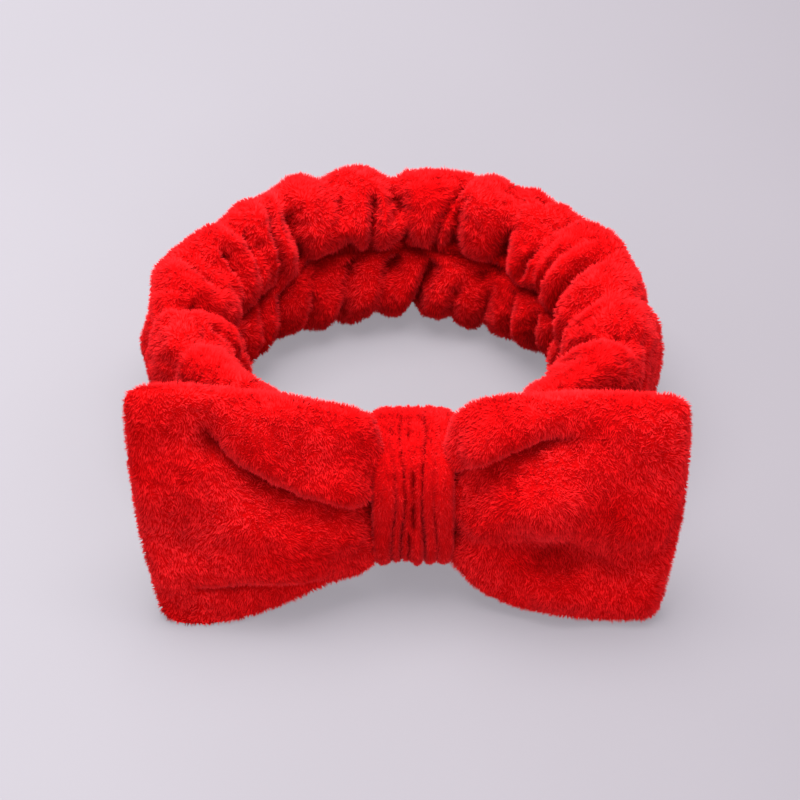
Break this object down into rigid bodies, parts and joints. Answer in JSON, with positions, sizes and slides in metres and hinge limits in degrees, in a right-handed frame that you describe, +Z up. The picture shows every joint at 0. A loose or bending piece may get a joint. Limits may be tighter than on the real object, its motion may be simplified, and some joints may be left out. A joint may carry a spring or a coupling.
{
  "type": "spa headband",
  "caption": "Stretchy gathered coral-fleece headband with a padded bow held by a pleated knot, to keep hair back for face care.",
  "frame": {"origin": "middle of the footprint, on the surface that the headband stands on with its ring upright", "axes": "+X along the bow, to the wearer's left when the bow is worn in front; the bow faces -Y; +Z up, along the ring's axis"},
  "size_m": [0.2022, 0.1924, 0.0919],
  "materials": {
    "red_fleece": "deep coral-fleece pile, soft sheen",
    "red_thread": "matte twisted sewing thread",
    "white_elastic": "matte knitted elastic tape",
    "white_wadding": "matte polyester wadding"
  },
  "bodies": {
    "front": {"sleeve_front_left": "red_fleece", "sleeve_front_right": "red_fleece", "elastic_front_left": "white_elastic", "elastic_front_right": "white_elastic", "sleeve_seam_thread_front_left": "red_thread", "sleeve_seam_thread_front_right": "red_thread", "sleeve_end_seam": "red_thread", "bow_waist": "red_fleece", "waist_tie_thread": "red_thread", "knot_wrap": "red_fleece", "knot_tack_stitches": "red_thread"},
    "back": {"sleeve_back": "red_fleece", "elastic_back": "white_elastic", "sleeve_seam_thread_back": "red_thread"},
    "left_wing": {"bow_front_panel_left": "red_fleece", "bow_back_panel_left": "red_fleece", "bow_wadding_left": "white_wadding", "bow_end_seam_left": "red_thread"},
    "right_wing": {"bow_front_panel_right": "red_fleece", "bow_back_panel_right": "red_fleece", "bow_wadding_right": "white_wadding", "bow_end_seam_right": "red_thread"}
  },
  "joints": [
    {"name": "band_stretch", "type": "slide", "parent": "front", "child": "back", "axis": [0, 1, 0], "range_m": [0, 0.07], "stiffness_N_per_m": 80},
    {"name": "bow_left_fold", "type": "hinge", "parent": "front", "child": "left_wing", "pos_m": [-0.0222, -0.0748, 0.0355], "axis": [0, 0.2588, 0.9659], "range_deg": [-8, 45], "stiffness_Nm_per_rad": 0.06},
    {"name": "bow_right_fold", "type": "hinge", "parent": "front", "child": "right_wing", "pos_m": [0.0222, -0.0748, 0.0355], "axis": [0, -0.2588, -0.9659], "range_deg": [-8, 45], "stiffness_Nm_per_rad": 0.06}
  ]
}
